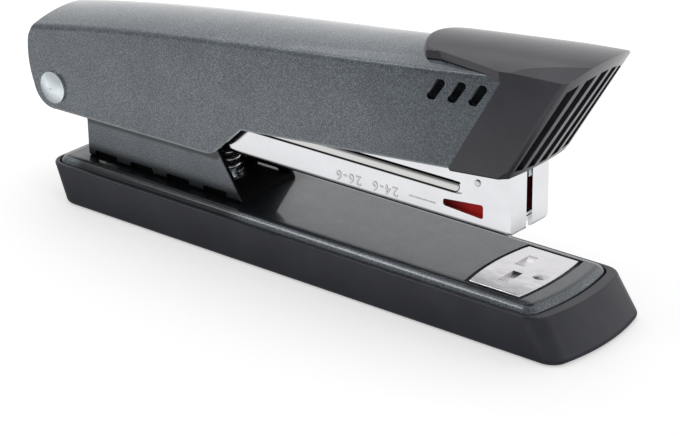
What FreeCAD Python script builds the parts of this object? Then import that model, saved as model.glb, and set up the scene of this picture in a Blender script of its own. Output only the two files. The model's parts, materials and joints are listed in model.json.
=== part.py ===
"""Full-strip desk stapler with a pressed steel handle, a plastic nose cap and a louvred front.

Millimetres. The origin is the middle of the tray's underside, +X points to the nose and +Z up.
The handle and the magazine are drawn in frames of their own, whose origin is the hinge axis:
u runs forward, w runs up. Each piece's Placement puts it at its rest pose.
"""
import FreeCAD
import Part
import math
import os
import Sketcher

doc = FreeCAD.newDocument("Stapler")
sheet = doc.addObject("Spreadsheet::Sheet", "Sizes")

SIZES = {
    # tray: moulded plastic tub that the stapler stands on
    "tray_length": 158.2, "tray_width": 34.7, "tray_height": 9.9, "tray_draft": 0.55,
    "tray_ramp": 6.3, "tray_undercut": 4.5, "tray_bow": 2.8, "tray_corner": 4.5,
    "tray_foot_round": 1.2, "tray_rim_round": 0.5, "tray_rim": 1.4, "tray_front_rim": 3.0,
    "tray_floor": 2.5, "tray_ledge": 1.8, "seat_gap": 0.2,
    # base plate: pressed steel lid of the tray
    "plate_top": 11.3, "plate_skirt": 4.0, "plate_round": 2.5, "plate_bow": 2.0,
    "plate_corner": 3.2, "plate_sheet": 1.2,
    # anvil, measured from the line where the driver lands
    "anvil_behind": 5.2, "anvil_ahead": 8.3, "anvil_width": 23.1, "anvil_sheet": 1.2,
    "anvil_proud": 0.2, "anvil_rear_bow": 1.3, "anvil_front_bow": 1.0, "anvil_margin": 0.9,
    "anvil_rivet_ahead": 6.3, "anvil_rivet_head": 2.2, "anvil_rivet_shank": 1.3,
    "clinch_out": 4.4, "clinch_shift": 0.93, "clinch_radius": 6.0, "clinch_wide": 2.6,
    "clinch_depth": 0.75,
    # hinge
    "hinge_past": 1.1, "hinge_up": 27.7, "pin_radius": 2.4, "pin_head": 4.1, "pin_rim": 0.6,
    "pin_dome": 0.6, "run_gap": 0.05, "ear_radius": 5.2, "washer_radius": 4.6, "washer_room": 1.1,
    "press_angle": 4.35,
    # frame bracket: U channel that stands on the base plate
    "bracket_sheet": 1.2, "bracket_gap": 0.5, "bracket_rear": 9.7, "bracket_front": 60.5,
    "bracket_lean": 11.2, "bracket_top": 1.5, "bracket_round": 2.0, "bracket_fold": 0.9,
    "scallop_count": 4, "scallop_from": 2.1, "scallop_long": 7.6, "scallop_pitch": 12.1,
    "scallop_high": 1.8, "scallop_round": 0.6,
    "rivet_shank": 1.4, "rivet_head": 2.5, "rivet_dome": 0.9, "rivet_row": 20.0,
    "rivet_pitch": 15.0, "rivet_spread": 9.0,
    "screw_shank": 1.4, "screw_head": 2.7, "screw_head_deep": 1.4, "screw_boss": 3.2,
    "screw_front": 36.0,
    # lift spring under the magazine
    "lift_at": 46.9, "lift_radius": 3.5, "lift_wire": 0.5, "lift_turns": 3, "seat_disc": 4.6,
    "seat_sheet": 0.6, "seat_boss_up": 2.2, "seat_rivet_head": 2.2, "spring_gap": 0.3,
    "coil_gap": 0.1,
    # magazine: folded channel, in the hinge frame
    "mag_width": 15.6, "mag_sheet": 1.1, "mag_low": 5.5, "mag_high": 8.8, "mag_short": 22.8,
    "mag_shoulder": 12.0, "mag_bend": 1.5, "exit_gap": 1.5, "slit_width": 2.2,
    "slot_from": 40.0, "slot_short": 13.7, "slot_up": 3.2, "slot_radius": 1.5, "slot_deep": 0.5,
    "slot_gap": 0.8,
    "window_short": 17.9, "window_long": 11.0, "window_low_rear": 2.0, "window_low_front": 2.7,
    "window_high_rear": 0.4, "window_high_front": 0.7, "window_round": 0.6,
    # staple rail inside the magazine
    "staple_room": 1.0, "rail_sheet": 0.8, "rail_high": 4.6, "rail_rear": 10.0, "rail_short": 2.8,
    "rail_rivet_rear": 30.0, "rail_rivet_short": 25.7, "rail_rivet_shank": 1.2,
    "rail_rivet_head": 2.0, "rail_rivet_dome": 0.5,
    # pusher, its rod and spring
    "pusher_length": 10.5, "pusher_foot": 3.4, "pusher_tail": 5.0, "tail_up": 1.4,
    "pusher_cap": 1.6, "pusher_gap": 0.2, "rod_radius": 1.1, "rod_up": 0.0, "rod_gap": 0.1,
    "rod_end": 3.0, "holder_rear": 12.0, "holder_long": 4.0, "push_radius": 2.3,
    "push_wire": 0.25, "push_turns": 20,
    # handle: pressed steel channel with a crowned roof
    "handle_tilt": 5.4, "handle_sheet": 1.0, "crown": 2.7, "crease_mid": 18.9,
    "bend_fall": 1.6, "rear_fall": 4.2, "front_rise": 1.7, "roof_behind": 12.0, "bend_at": 20.0,
    "mid_at": 70.0, "roof_past": 21.9, "crease_round": 1.0, "back_reach": 7.0, "back_high": 12.7,
    "back_bow": 0.9, "back_lean": 0.67, "back_low": 2.0, "heel_low": 5.9, "heel_bow": 1.85,
    "deep_at": 52.0, "deep_low": 10.1, "deep_round": 6.0, "step_at": 62.0, "edge_low": 2.5,
    "cheek_short": 16.2, "front_slope": 0.7306,
    "vent_count": 3, "vent_back": 5.4, "vent_pitch": 5.65, "vent_low": 12.9, "vent_high": 5.0,
    "vent_long": 2.9, "vent_lean": 4.3, "vent_round": 0.8,
    # nose cap: moulded hood; places along it are counted from the foot of its front
    "nose_lip": 0.6, "nose_wall": 1.8, "nose_low": 3.05, "nose_ahead": 4.6, "nose_slope": 0.775,
    "nose_top": 30.0, "nose_bow_low": 1.0, "nose_bow_high": 2.2, "nose_gap": 0.2, "nose_corner": 1.2,
    "nose_foot": 0.8, "crest_up": 1.2, "crest_fall": 0.3, "brow_ahead": 2.7, "brow_up": 1.3,
    "brow_long": 28.0, "roof_rear": 34.3, "roof_rear_up": 0.6, "facet_slope": 0.5,
    "facet_drop": 0.055, "chin_back": 3.3, "chin_slope": 0.7, "pad_sink": 0.9, "pad_rear": 22.3,
    "pad_bow": 4.3, "pad_half": 8.5, "pad_straight": 4.0, "pad_wide": 0.3, "pad_round": 1.0,
    "louvre_count": 5, "louvre_pitch": 4.4, "louvre_width": 2.9, "louvre_low": 2.0,
    "louvre_lift": 1.2, "louvre_top": 0.3, "louvre_arch": 3.2, "post_back": 8.3, "post_out": 8.3,
    "post_radius": 1.2, "post_under": 1.2,
    # driver, its carrier and the return spring, in the handle's frame
    "blade_short": 1.8, "blade_sheet": 0.6, "blade_gap": 0.5, "blade_low": 6.9,
    "blade_foot": 9.0, "carrier_past": 6.5, "carrier_gap": 0.8, "carrier_sheet": 1.2,
    "carrier_deep": 6.5, "leaf_sheet": 0.5, "leaf_past": 5.5, "leaf_bend_past": 8.0,
    "leaf_end": 48.0, "leaf_toe": 6.0, "leaf_width": 11.0, "leaf_over": 0.4,
    "stud_back": 9.8, "stud_pitch": 11.0, "stud_shank": 1.4, "stud_head": 2.4, "stud_dome": 0.6,
    "stud_room": 0.2,
}


class Size:
    """A length that keeps both its number and the way it is worked out from the sheet's cells."""

    def __init__(self, value, text=None):
        self.value = float(value)
        self.text = text or "(%r)" % float(value)

    @staticmethod
    def of(other):
        return other if isinstance(other, Size) else Size(other)

    def __add__(self, other):
        other = Size.of(other)
        return Size(self.value + other.value, "(%s + %s)" % (self.text, other.text))

    def __sub__(self, other):
        other = Size.of(other)
        return Size(self.value - other.value, "(%s - %s)" % (self.text, other.text))

    def __mul__(self, other):
        other = Size.of(other)
        return Size(self.value * other.value, "(%s * %s)" % (self.text, other.text))

    def __truediv__(self, other):
        other = Size.of(other)
        return Size(self.value / other.value, "(%s / %s)" % (self.text, other.text))

    def __radd__(self, other):
        return Size.of(other) + self

    def __rsub__(self, other):
        return Size.of(other) - self

    def __rmul__(self, other):
        return Size.of(other) * self

    def __neg__(self):
        return Size(-self.value, "(-1 * %s)" % self.text)


def root(size):
    return Size(math.sqrt(size.value), "sqrt(%s)" % size.text)


def sine(degrees):
    return Size(math.sin(math.radians(degrees.value)), "sin(%s)" % degrees.text)


def cosine(degrees):
    return Size(math.cos(math.radians(degrees.value)), "cos(%s)" % degrees.text)


def arctan(slope):
    """An angle in degrees."""
    return Size(math.degrees(math.atan(slope.value)), "atan(%s)" % slope.text)


class Cells:
    """The sheet's cells by name: cell.tray_length is a Size."""


cell = Cells()
for row, (name, value) in enumerate(SIZES.items(), 1):
    sheet.set("A%d" % row, name)
    sheet.set("B%d" % row, str(value))
    sheet.setAlias("B%d" % row, name)
    setattr(cell, name, Size(value, "Sizes." + name))
doc.recompute()

# ---------------------------------------------------------------- places that several pieces share
HALF = 0.5
FAR = 60
tray_tip = cell.tray_length * HALF
hinge_x = -tray_tip - cell.hinge_past
mag_front = cell.tray_length + cell.hinge_past - cell.mag_short
blade_at = mag_front - cell.blade_short
nose_reach = blade_at + cell.nose_ahead
front_low = nose_reach - cell.cheek_short
roof_to = front_low + cell.roof_past
stud_front = nose_reach - cell.stud_back
stud_rear = stud_front - cell.stud_pitch
carrier_rear = stud_rear - cell.carrier_past
leaf_from = stud_rear + cell.leaf_past
leaf_bend = carrier_rear - cell.leaf_bend_past
post_at = nose_reach - cell.post_back
vent_first = front_low - cell.vent_back
slot_to = mag_front - cell.slot_short
window_rear = mag_front - cell.window_short
window_front = window_rear + cell.window_long
plate_under = cell.plate_top - cell.plate_sheet
plate_foot = cell.plate_top - cell.plate_skirt
bracket_floor = cell.plate_top + cell.bracket_sheet
bracket_inner = cell.mag_width + 2 * cell.washer_room
bracket_width = bracket_inner + 2 * cell.bracket_sheet
anvil_top = cell.plate_top + cell.anvil_proud
anvil_dip = cell.anvil_sheet - cell.anvil_proud
landing = hinge_x + blade_at * cosine(cell.press_angle) - cell.mag_low * sine(cell.press_angle)
anvil_rivet_x = landing + cell.anvil_rivet_ahead
rivet_x = [hinge_x + cell.rivet_row, hinge_x + cell.rivet_row + cell.rivet_pitch]
screw_x = [(rivet_x[0] + rivet_x[1]) * HALF, cell.screw_front]
lift_x = hinge_x + cell.lift_at
lift_seat = bracket_floor + cell.seat_sheet
mag_inner = cell.mag_width - 2 * cell.mag_sheet
mag_floor = cell.mag_sheet - cell.mag_low
flange_inside = mag_front - cell.mag_sheet
rail_width = mag_inner - 2 * cell.staple_room
rail_inner = rail_width - 2 * cell.rail_sheet
rail_floor = mag_floor + cell.rail_sheet
rail_front = mag_front - cell.rail_short
rail_rivet_front = rail_front - cell.rail_rivet_short
pusher_rear = rail_front - cell.pusher_length
holder_front = cell.holder_rear + cell.holder_long
handle_inner = bracket_width + 2 * cell.bracket_gap
handle_width = handle_inner + 2 * cell.handle_sheet
nose_width = handle_width + 2 * cell.nose_lip
nose_rear = nose_reach - cell.roof_rear
brow = nose_reach + cell.brow_ahead
nose_tip = brow + cell.brow_long
pad_end = nose_reach - cell.pad_rear
hinge_hole = cell.pin_radius + cell.run_gap
crease_front = cell.crease_mid + cell.front_rise
blade_rear = blade_at - cell.blade_sheet * HALF
blade_width = mag_inner - 2 * cell.blade_gap


def roof_at(u, y=0):
    """Height of the handle's roof ahead of mid_at, at a place across it."""
    grade = cell.front_rise / (roof_to - cell.mid_at)
    fall = cell.crown * y * y * 4 / (handle_width * handle_width)
    return cell.crease_mid + grade * (u - cell.mid_at) + cell.crown - fall


carrier_top = roof_at(carrier_rear, blade_width * HALF) - cell.handle_sheet - cell.carrier_gap
carrier_under = carrier_top - cell.carrier_sheet


# ---------------------------------------------------------------- drawing helpers
def bind(item, path, size):
    """Ties a property to the sheet."""
    item.setExpression(path, Size.of(size).text)


def new_body(label):
    body = doc.addObject("PartDesign::Body", label)
    body.Label = label
    return body


def seat(item, tilt=None, at=None):
    """Puts a piece at the hinge, turned nose-up by the tilt, or at a place of its own."""
    place = [Size.of(p) for p in at or (hinge_x, 0, cell.hinge_up)]
    turn = FreeCAD.Rotation(FreeCAD.Vector(0, 1, 0), -tilt.value if tilt else 0)
    item.Placement = FreeCAD.Placement(FreeCAD.Vector(*[p.value for p in place]), turn)
    for axis, size in zip("xyz", place):
        bind(item, "Placement.Base." + axis, size)
    if tilt:
        bind(item, "Placement.Rotation.Angle", -tilt)
    return item


def sketch_on(body, plane, offset=None, across=None):
    """An empty sketch on an origin plane, moved along its normal and along its own X."""
    role = next(o for o in body.Origin.OriginFeatures if o.Role == plane + "_Plane")
    sketch = body.newObject("Sketcher::SketchObject", "Sketch")
    sketch.AttachmentSupport = [(role, "")]
    sketch.MapMode = "FlatFace"
    if offset is not None:
        bind(sketch, "AttachmentOffset.Base.z", offset)
    if across is not None:
        bind(sketch, "AttachmentOffset.Base.x", across)
    return sketch


def dimension(sketch, kind, size, *points):
    """A dimension tied to the sheet."""
    size = Size.of(size)
    index = sketch.addConstraint(Sketcher.Constraint(kind, *points, size.value))
    label = "%s%d" % (kind, index)
    sketch.renameConstraint(index, label)
    bind(sketch, "Constraints." + label, size)


def locate(sketch, geometry, point, x, y):
    dimension(sketch, "DistanceX", x, -1, 1, geometry, point)
    dimension(sketch, "DistanceY", y, -1, 1, geometry, point)


def outline(sketch, corners, bows=None):
    """A closed outline. bows gives the rise of the arc that leaves a corner, positive to its left."""
    bows = bows or {}
    corners = [(Size.of(x), Size.of(y)) for x, y in corners]
    count = len(corners)
    sides = []
    for i, (x1, y1) in enumerate(corners):
        x2, y2 = corners[(i + 1) % count]
        start = FreeCAD.Vector(x1.value, y1.value, 0)
        end = FreeCAD.Vector(x2.value, y2.value, 0)
        if i not in bows:
            sides.append((sketch.addGeometry(Part.LineSegment(start, end), False), 1, 2))
            continue
        rise = Size.of(bows[i])
        along = end - start
        left = FreeCAD.Vector(-along.y, along.x, 0).normalize()
        top = (start + end) * HALF + left * rise.value
        side = sketch.addGeometry(Part.Arc(start, top, end), False)
        clockwise = rise.value > 0
        sides.append((side, 2, 1) if clockwise else (side, 1, 2))
        chord = (x2 - x1) * (x2 - x1) + (y2 - y1) * (y2 - y1)
        tall = rise if clockwise else -rise
        dimension(sketch, "Radius", (chord / 4 + tall * tall) / (2 * tall), side)
    for i, (side, _, last) in enumerate(sides):
        after, first, _ = sides[(i + 1) % count]
        sketch.addConstraint(Sketcher.Constraint("Coincident", side, last, after, first))
    for (side, first, _), (x, y) in zip(sides, corners):
        locate(sketch, side, first, x, y)
    return sketch


def box(sketch, x1, y1, x2, y2):
    return outline(sketch, [(x1, y1), (x2, y1), (x2, y2), (x1, y2)])


def circle(sketch, x, y, size):
    centre = FreeCAD.Vector(Size.of(x).value, Size.of(y).value, 0)
    ring = sketch.addGeometry(Part.Circle(centre, FreeCAD.Vector(0, 0, 1), Size.of(size).value), False)
    locate(sketch, ring, 3, x, y)
    dimension(sketch, "Radius", size, ring)
    return sketch


def slot(sketch, x1, y1, x2, y2, size):
    """A round-ended slot between two centres."""
    first, second = [FreeCAD.Vector(Size.of(x).value, Size.of(y).value, 0) for x, y in ((x1, y1), (x2, y2))]
    reach = (second - first).normalize() * Size.of(size).value
    side = FreeCAD.Vector(-reach.y, reach.x, 0)
    near_end = sketch.addGeometry(Part.Arc(first + side, first - reach, first - side), False)
    far_end = sketch.addGeometry(Part.Arc(second - side, second + reach, second + side), False)
    low = sketch.addGeometry(Part.LineSegment(first - side, second - side), False)
    high = sketch.addGeometry(Part.LineSegment(second + side, first + side), False)
    for joint in ((near_end, 2, low, 1), (low, 2, far_end, 1), (far_end, 2, high, 1), (high, 2, near_end, 1)):
        sketch.addConstraint(Sketcher.Constraint("Tangent", *joint))
    locate(sketch, near_end, 3, x1, y1)
    locate(sketch, far_end, 3, x2, y2)
    dimension(sketch, "Radius", size, near_end)
    return sketch


def pad(body, sketch, length, both_ways=False, backward=False):
    feature = body.newObject("PartDesign::Pad", "Pad")
    feature.Profile = sketch
    feature.SideType = "Symmetric" if both_ways else "One side"
    feature.Reversed = backward
    bind(feature, "Length", length)
    return feature


def pocket(body, sketch, length, both_ways=False, forward=False):
    """Cuts against the sketch plane's normal, along it if forward, or half the length each way."""
    doc.recompute()
    before = body.Shape.Volume
    feature = body.newObject("PartDesign::Pocket", "Pocket")
    feature.Profile = sketch
    feature.SideType = "Symmetric" if both_ways else "One side"
    feature.Reversed = forward
    bind(feature, "Length", length)
    doc.recompute()
    if not body.Shape.Volume < before - 1e-6:
        raise RuntimeError("a pocket cuts nothing in " + body.Label)
    return feature


def loft(body, sections, cut=False):
    kind = "PartDesign::SubtractiveLoft" if cut else "PartDesign::AdditiveLoft"
    feature = body.newObject(kind, "Loft")
    feature.Profile = sections[0]
    feature.Sections = sections[1:]
    feature.Ruled = len(sections) == 2
    return feature


def revolve(body, sketch):
    feature = body.newObject("PartDesign::Revolution", "Revolution")
    feature.Profile = sketch
    feature.ReferenceAxis = (sketch, ["V_Axis"])
    feature.Angle = 360
    return feature


def fillet(body, size, wanted):
    """Rounds the edges of the body so far that the test picks."""
    doc.recompute()
    base = body.Tip
    names = ["Edge%d" % i for i, edge in enumerate(base.Shape.Edges, 1) if wanted(Run(edge))]
    if not names:
        raise RuntimeError("no edge to round in " + body.Label)
    feature = body.newObject("PartDesign::Fillet", "Fillet")
    feature.Base = (base, names)
    bind(feature, "Radius", size)
    doc.recompute()
    if not feature.isValid() or not feature.Shape.isValid():
        raise RuntimeError("a rounding fails in " + body.Label)
    return feature


def soften(item, size, wanted):
    """Rounds the edges of a boolean that the test picks."""
    picked = [i for i, edge in enumerate(item.Shape.Edges, 1) if wanted(Run(edge))]
    feature = doc.addObject("Part::Fillet", item.Label + "_round")
    feature.Base = item
    feature.Edges = [(i, size.value, size.value) for i in picked]
    doc.recompute()
    if not picked or not feature.Shape.isValid():
        raise RuntimeError("a rounding fails in " + item.Label)
    return feature


def near(value, size, within=0.02):
    return abs(value - Size.of(size).value) < within


class Run:
    """How far an edge runs along each axis."""

    def __init__(self, edge):
        spots = edge.discretize(Number=7)
        self.x, self.y, self.z = [sorted(getattr(spot, axis) for spot in spots) for axis in "xyz"]
        self.long = [values[-1] - values[0] for values in (self.x, self.y, self.z)]

    def lies_at(self, axis, size):
        values = getattr(self, axis)
        return near(values[0], size) and near(values[-1], size)


def flat_at(axis, size):
    """Picks edges that lie in one plane across an axis."""
    return lambda run: run.lies_at(axis, size)


def corner_edge(low=None, high=None):
    """Picks straight upright edges, between two heights where they are given."""
    def test(run):
        if run.long[0] > 0.01 or run.long[1] > 0.01:
            return False
        return ((low is None or run.z[0] > low.value - 0.01)
                and (high is None or run.z[-1] < high.value + 0.01))
    return test


def across_edge(width, x=None, z=None):
    """Picks edges of one width across the piece, at a place in its side view."""
    def test(run):
        return (near(run.long[1], width) and (x is None or run.lies_at("x", x))
                and (z is None or run.lies_at("z", z)))
    return test


def long_edge(z):
    """Picks edges that run fore and aft at one height."""
    return lambda run: run.lies_at("z", z) and run.long[1] < 0.01


def combine(kind, label, items):
    """A boolean of whole pieces: a cut of two, or a common of several."""
    made = doc.addObject("Part::" + kind, label)
    made.Label = label
    if kind == "Cut":
        made.Base, made.Tool = items
    elif kind == "Compound":
        made.Links = items
    else:
        made.Shapes = items
    doc.recompute()
    return made


def dome_bow(head, dome):
    """Rise of the arc from a dome's top to its rim, so that the dome is a part of a sphere."""
    ball = (head * head + dome * dome) / (2 * dome)
    return root(ball * ball) - root(ball * ball - (head * head + dome * dome) / 4)


def rivet(label, shank, head, dome, low, high, plane="XZ", across=None):
    """A round-headed rivet about its own axis, with a flatter head at its foot."""
    body = new_body(label)
    foot = dome * HALF
    sketch = sketch_on(body, plane, across=across)
    outline(sketch, [
        (0, low - foot), (head * 0.8, low - foot), (head * 0.8, low), (shank, low),
        (shank, high), (head, high), (0, high + dome),
    ], {5: -dome_bow(head, dome)})
    revolve(body, sketch)
    return body


def coil(label, mean, wire, turns, length):
    """A spring along Z from z = 0, of half turns that are half rings, with a closed turn at each end.

    Each half ring is tipped about Y, so that it climbs from one side to the other and meets the next
    one squarely.
    """
    closed = 2 * wire + cell.coil_gap
    free = (length - 2 * wire - 2 * closed) / turns
    count = int(turns.value)
    rises = [closed * HALF] * 2 + [free * HALF] * (2 * count) + [closed * HALF] * 2
    low = wire
    halves = []
    for i, rise in enumerate(rises):
        half = doc.addObject("Part::Torus", label + "_half")
        bind(half, "Radius1", root(mean * mean + rise * rise / 4))
        bind(half, "Radius2", wire)
        half.Angle3 = 180
        bind(half, "Placement.Base.z", low + rise * HALF)
        tip = arctan(rise * HALF / mean)
        near_half = i % 2 == 0
        about = (0, 1, 0) if near_half else (-sine(tip * HALF), 0, cosine(tip * HALF))
        for axis, size in zip("xyz", about):
            bind(half, "Placement.Rotation.Axis." + axis, size)
        bind(half, "Placement.Rotation.Angle", tip if near_half else 180)
        low = low + rise
        halves.append(half)
    return combine("MultiFuse", label, halves)


# ---------------------------------------------------------------- base
def tray_outline(sketch, rear, front, half):
    """Plan outline with straight sides and a bowed front edge."""
    corners = [(rear, -half), (front - cell.tray_bow, -half), (front - cell.tray_bow, half), (rear, half)]
    return outline(sketch, corners, {1: -cell.tray_bow})


def plate_outline(sketch, inset):
    """Outline of the base plate's edge, moved in by the inset."""
    half = cell.tray_width * HALF - cell.tray_draft - cell.tray_rim - cell.seat_gap - inset
    rear = cell.tray_rim + cell.seat_gap + inset - tray_tip
    front = tray_tip - cell.tray_ramp - cell.tray_front_rim - cell.seat_gap - inset - cell.plate_bow
    return outline(sketch, [(rear, -half), (front, -half), (front, half), (rear, half)],
                   {1: -cell.plate_bow})


def base_tray():
    """Moulded tub: bowed ramp at the front, undercut rear, a ledge for the plate and screw bosses."""
    body = new_body("base_tray")
    half = cell.tray_width * HALF
    low = tray_outline(sketch_on(body, "XY"), cell.tray_undercut - tray_tip, tray_tip, half)
    high = tray_outline(sketch_on(body, "XY", cell.tray_height), -tray_tip, tray_tip - cell.tray_ramp,
                        half - cell.tray_draft)
    loft(body, [low, high])
    recess = plate_outline(sketch_on(body, "XY", cell.tray_height), -cell.seat_gap)
    pocket(body, recess, cell.tray_height - plate_foot)
    fillet(body, cell.plate_corner + cell.seat_gap, corner_edge(plate_foot))
    fillet(body, cell.tray_corner, lambda run: near(run.long[2], cell.tray_height))
    fillet(body, cell.tray_foot_round, flat_at("z", 0))
    fillet(body, cell.tray_rim_round, flat_at("z", cell.tray_height))
    hollow = plate_outline(sketch_on(body, "XY", plate_foot), cell.tray_ledge)
    pocket(body, hollow, plate_foot - cell.tray_floor)
    posts = sketch_on(body, "XY", cell.tray_floor)
    shanks = sketch_on(body, "XY")
    heads = sketch_on(body, "XY")
    for x in screw_x:
        circle(posts, x, 0, cell.screw_boss)
        circle(shanks, x, 0, cell.screw_shank + cell.run_gap)
        circle(heads, x, 0, cell.screw_head + cell.seat_gap)
    pad(body, posts, plate_under - cell.plate_sheet - cell.tray_floor)
    pocket(body, shanks, cell.plate_top, forward=True)
    pocket(body, heads, cell.screw_head_deep + cell.seat_gap, forward=True)
    return body


def anvil_outline(sketch, grow):
    """Anvil outline: straight sides, bowed rear and front edges."""
    half = cell.anvil_width * HALF + grow
    rear = landing - cell.anvil_behind - grow
    front = landing + cell.anvil_ahead + grow
    return outline(sketch, [(rear, -half), (front, -half), (front, half), (rear, half)],
                   {1: -cell.anvil_front_bow, 3: -cell.anvil_rear_bow})


def base_plate():
    """Pressed lid of the tray, with a rounded edge, a dip for the anvil and two threaded studs."""
    body = new_body("base_plate")
    pad(body, plate_outline(sketch_on(body, "XY", plate_foot), 0), cell.plate_skirt)
    fillet(body, cell.plate_corner, corner_edge())
    fillet(body, cell.plate_round, flat_at("z", cell.plate_top))
    hollow = plate_outline(sketch_on(body, "XY", plate_foot), cell.plate_sheet)
    pocket(body, hollow, cell.plate_skirt - cell.plate_sheet, forward=True)
    fillet(body, cell.plate_corner - cell.plate_sheet, corner_edge(plate_foot, plate_under))
    fillet(body, cell.plate_round - cell.plate_sheet, flat_at("z", plate_under))
    dip = anvil_outline(sketch_on(body, "XY", plate_under), cell.anvil_margin + cell.plate_sheet)
    pad(body, dip, anvil_dip, backward=True)
    pocket(body, anvil_outline(sketch_on(body, "XY", cell.plate_top), cell.anvil_margin), anvil_dip)
    studs = sketch_on(body, "XY", plate_under)
    threads = sketch_on(body, "XY", plate_under - cell.plate_sheet)
    for x in screw_x:
        circle(studs, x, 0, cell.screw_boss)
        circle(threads, x, 0, cell.screw_shank + cell.run_gap)
    pad(body, studs, cell.plate_sheet, backward=True)
    pocket(body, threads, cell.plate_sheet * 1.5, forward=True)
    through = sketch_on(body, "XY", cell.plate_top)
    circle(through, anvil_rivet_x, 0, cell.anvil_rivet_shank + cell.run_gap)
    circle(through, lift_x, 0, cell.rivet_shank + cell.run_gap)
    for x, y in rivet_places():
        circle(through, x, y, cell.rivet_shank + cell.run_gap)
    pocket(body, through, cell.plate_skirt)
    return body


def rivet_places():
    return [(x, side * cell.rivet_spread * HALF) for x in rivet_x for side in (-1, 1)]


def frame_bracket():
    """U channel: two side walls with hinge ears, joined by a floor on the base plate."""
    body = new_body("frame_bracket")
    foot = cell.plate_top - cell.hinge_up
    ear = cell.ear_radius
    side = outline(sketch_on(body, "XZ"), [
        (cell.bracket_rear, foot), (cell.bracket_front, foot),
        (cell.bracket_front - cell.bracket_lean, cell.bracket_top), (0, ear), (0, -ear),
        (cell.bracket_rear, -ear),
    ])
    pad(body, side, bracket_width, both_ways=True)
    pad(body, circle(sketch_on(body, "XZ"), 0, 0, ear), bracket_width, both_ways=True)
    fillet(body, cell.bracket_round, across_edge(bracket_width, cell.bracket_rear, -ear))
    fillet(body, cell.bracket_fold, long_edge(foot))
    inside = box(sketch_on(body, "XZ"), -FAR, foot + cell.bracket_sheet, 2 * FAR, FAR)
    pocket(body, inside, bracket_inner, both_ways=True)
    scallops = sketch_on(body, "XY", foot)
    for i in range(int(cell.scallop_count.value)):
        start = cell.bracket_rear + cell.scallop_from + cell.scallop_pitch * i
        for inner, outer in ((bracket_inner * HALF, bracket_width), (-bracket_width, -bracket_inner * HALF)):
            box(scallops, start, inner, start + cell.scallop_long, outer)
    pocket(body, scallops, cell.scallop_high, forward=True)
    fillet(body, cell.scallop_round, lambda run: near(run.long[1], cell.bracket_sheet)
           and run.lies_at("z", foot + cell.scallop_high))
    pocket(body, circle(sketch_on(body, "XZ"), 0, 0, hinge_hole), 2 * bracket_width, both_ways=True)
    holes = sketch_on(body, "XY", foot)
    for x, y in rivet_places() + [(lift_x, 0)]:
        circle(holes, x - hinge_x, y, cell.rivet_shank + cell.run_gap)
    pocket(body, holes, cell.bracket_sheet * 2, forward=True)
    return seat(body)


def bracket_rivets():
    rivets = [seat(rivet("bracket_rivet", cell.rivet_shank, cell.rivet_head, cell.rivet_dome,
                         plate_under, bracket_floor), at=(x, y, 0)) for x, y in rivet_places()]
    return combine("Compound", "bracket_rivets", rivets)


def anvil_plate():
    """Hardened plate with two troughs that turn the staple's legs inward, one beside the other."""
    body = new_body("anvil_plate")
    pad(body, anvil_outline(sketch_on(body, "XY", anvil_top - cell.anvil_sheet), 0), cell.anvil_sheet)
    fillet(body, cell.anvil_sheet * 0.25, flat_at("z", anvil_top))
    hole = circle(sketch_on(body, "XY", anvil_top), anvil_rivet_x, 0, cell.anvil_rivet_shank + cell.run_gap)
    pocket(body, hole, cell.anvil_sheet * 2)
    for side in (-1, 1):
        trough = circle(sketch_on(body, "YZ", landing - side * cell.clinch_shift), side * cell.clinch_out,
                        anvil_top + cell.clinch_radius - cell.clinch_depth, cell.clinch_radius)
        pocket(body, trough, cell.clinch_wide, both_ways=True)
    return body


def anvil_rivet():
    body = rivet("anvil_rivet", cell.anvil_rivet_shank, cell.anvil_rivet_head, cell.rivet_dome * HALF,
                 plate_under - anvil_dip, anvil_top)
    return seat(body, at=(anvil_rivet_x, 0, 0))


def tray_screws():
    screws = []
    top = plate_under + cell.plate_sheet * 0.35
    for x in screw_x:
        body = new_body("tray_screw")
        head_top = cell.seat_gap + cell.screw_head_deep
        revolve(body, outline(sketch_on(body, "XZ"), [
            (0, cell.seat_gap), (cell.screw_head, cell.seat_gap), (cell.screw_head, head_top),
            (cell.screw_shank, head_top), (cell.screw_shank, top), (0, top)]))
        screws.append(seat(body, at=(x, 0, 0)))
    return combine("Compound", "tray_screws", screws)


def spring_seat():
    """Riveted cup that the lift spring stands round."""
    body = new_body("spring_seat")
    boss = cell.lift_radius - cell.lift_wire - cell.spring_gap
    low = plate_under
    revolve(body, outline(sketch_on(body, "XZ"), [
        (0, low - cell.seat_sheet), (cell.seat_rivet_head, low - cell.seat_sheet),
        (cell.seat_rivet_head, low), (cell.rivet_shank, low), (cell.rivet_shank, bracket_floor),
        (cell.seat_disc, bracket_floor), (cell.seat_disc, lift_seat), (boss, lift_seat),
        (boss, lift_seat + cell.seat_boss_up), (0, lift_seat + cell.seat_boss_up)]))
    return seat(body, at=(lift_x, 0, 0))


def lift_spring():
    """Stands round the seat's boss and holds the magazine up."""
    reach = cell.hinge_up - cell.mag_low - cell.spring_gap * HALF - lift_seat
    spring = coil("lift_spring", cell.lift_radius, cell.lift_wire, cell.lift_turns, reach)
    return seat(spring, at=(lift_x, 0, lift_seat))


def hinge_pin():
    """Rivet through both walls of the handle, the bracket and the magazine."""
    body = new_body("hinge_pin")
    under = handle_width * HALF + cell.run_gap
    rim = under + cell.pin_rim
    tip = rim + cell.pin_dome
    bow = -dome_bow(cell.pin_head, cell.pin_dome)
    revolve(body, outline(sketch_on(body, "XY"), [
        (0, -tip), (cell.pin_head, -rim), (cell.pin_head, -under), (cell.pin_radius, -under),
        (cell.pin_radius, under), (cell.pin_head, under), (cell.pin_head, rim), (0, tip)],
        {0: bow, 6: bow}))
    return seat(body)


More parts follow.
